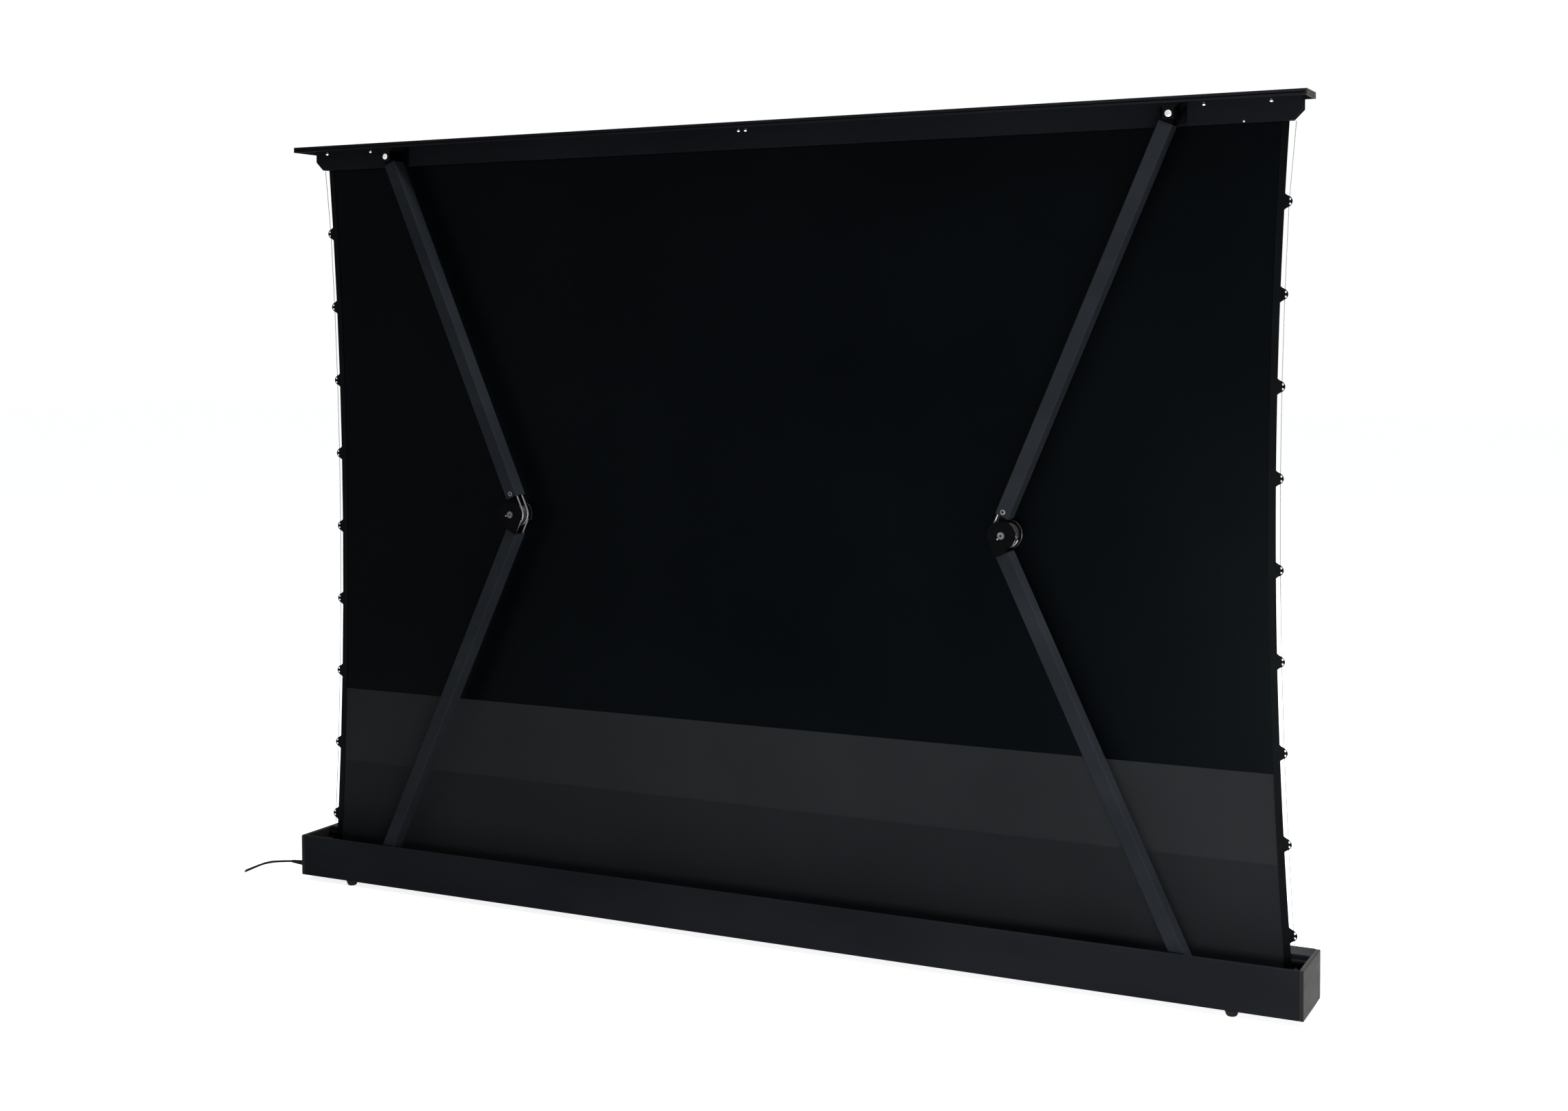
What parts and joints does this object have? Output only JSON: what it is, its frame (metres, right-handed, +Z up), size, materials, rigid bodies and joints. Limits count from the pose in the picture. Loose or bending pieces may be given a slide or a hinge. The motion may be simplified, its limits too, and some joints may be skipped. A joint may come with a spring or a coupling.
{
  "type": "projection screen",
  "caption": "Tall fabric projection screen that rises from a long floor case on two folding arms, with a tab-tensioned sheet under a flat top bar.",
  "frame": {"origin": "on the floor under the middle of the case", "axes": "+Z up, the audience on the -Y side, +X to the audience's right, where the mains lead is"},
  "size_m": [2.6219, 0.2813, 1.7941],
  "materials": {
    "painted_case": "dark slate paint on aluminium",
    "painted_arm": "dark slate paint on aluminium",
    "black_plastic": "matte black",
    "black_steel": "satin black paint",
    "black_casting": "satin black casting",
    "polished_casting": "polished",
    "steel": "bright",
    "zinc_steel": "zinc plated",
    "rubber": "matte",
    "glossy_fabric": "glossy coated back",
    "matte_fabric": "matte woven",
    "edge_strip": "black welded strip",
    "tension_cord": "pale braided cord"
  },
  "bodies": {
    "case": {"case_profile": "painted_case", "roller_cover": "painted_case", "end_cap_left": "black_plastic", "end_cap_right": "black_plastic", "foot_rear_left": "rubber", "foot_rear_right": "rubber", "foot_front_left": "rubber", "foot_front_right": "rubber", "idle_bracket": "zinc_steel", "motor_bracket": "zinc_steel", "tubular_motor": "zinc_steel", "control_box": "black_plastic", "left_base_bracket": "zinc_steel", "right_base_bracket": "zinc_steel", "left_base_pin": "steel", "right_base_pin": "steel", "screen_surface": "glossy_fabric", "lower_drop": "matte_fabric", "tab_strip_left": "edge_strip", "tab_strip_right": "edge_strip", "tension_cord_left": "tension_cord", "tension_cord_right": "tension_cord", "cord_gland": "rubber", "mains_cord": "rubber", "cord_coil": "rubber", "mains_plug": "black_plastic"},
    "roller": {"roller_tube": "zinc_steel", "fabric_roll": "matte_fabric", "idle_plug": "black_plastic", "drive_wheel": "black_plastic"},
    "left_lower_arm": {"left_lower_tube": "painted_arm", "left_base_knuckle": "black_casting", "left_elbow_fork": "black_steel", "left_elbow_bolt": "steel", "left_lower_cable": "steel"},
    "left_upper_arm": {"left_upper_tube": "painted_arm", "left_elbow_hub": "polished_casting", "left_top_knuckle": "black_casting", "left_upper_cable": "steel", "left_arm_spring": "steel"},
    "right_lower_arm": {"right_lower_tube": "painted_arm", "right_base_knuckle": "black_casting", "right_elbow_fork": "black_steel", "right_elbow_bolt": "steel", "right_lower_cable": "steel"},
    "right_upper_arm": {"right_upper_tube": "painted_arm", "right_elbow_hub": "polished_casting", "right_top_knuckle": "black_casting", "right_upper_cable": "steel", "right_arm_spring": "steel"},
    "top_bar": {"lid_profile": "painted_case", "lid_cap_left": "black_plastic", "lid_cap_right": "black_plastic", "beam_left": "painted_case", "beam_middle": "painted_case", "beam_right": "painted_case", "left_top_bracket": "black_casting", "right_top_bracket": "black_casting", "left_top_pin": "steel", "right_top_pin": "steel"}
  },
  "joints": [
    {"name": "left_base_hinge", "type": "hinge", "parent": "case", "child": "left_lower_arm", "pos_m": [-0.9888, 0.0455, 0.054], "axis": [0, 1, 0], "range_deg": [0, 64.72], "deforming": ["screen_surface", "lower_drop", "tab_strip_left", "tab_strip_right", "tension_cord_left", "tension_cord_right"]},
    {"name": "left_elbow_hinge", "type": "hinge", "parent": "left_lower_arm", "child": "left_upper_arm", "pos_m": [-0.602, 0.0455, 0.921], "axis": [0, -1, 0], "range_deg": [0, 131.25]},
    {"name": "left_top_hinge", "type": "hinge", "parent": "left_upper_arm", "child": "top_bar", "pos_m": [-0.949, 0.0455, 1.7617], "axis": [0, 1, 0], "range_deg": [0, 66.53]},
    {"name": "right_base_hinge", "type": "hinge", "parent": "case", "child": "right_lower_arm", "pos_m": [0.9888, 0.0455, 0.054], "axis": [0, -1, 0], "range_deg": [0, 64.72]},
    {"name": "right_elbow_hinge", "type": "hinge", "parent": "right_lower_arm", "child": "right_upper_arm", "pos_m": [0.602, 0.0455, 0.921], "axis": [0, 1, 0], "range_deg": [0, 131.25]},
    {"name": "roller_hinge", "type": "hinge", "parent": "case", "child": "roller", "pos_m": [0, -0.0355, 0.062], "axis": [-1, 0, 0], "range_deg": [0, 3374.98]}
  ],
  "couplings": [
    {"joint": "left_elbow_hinge", "follows": "left_base_hinge", "ratio": 2.028},
    {"joint": "left_top_hinge", "follows": "left_base_hinge", "ratio": 1.028},
    {"joint": "right_base_hinge", "follows": "left_base_hinge", "ratio": 1},
    {"joint": "right_elbow_hinge", "follows": "left_base_hinge", "ratio": 2.028},
    {"joint": "roller_hinge", "follows": "left_base_hinge", "ratio": 52.148}
  ]
}
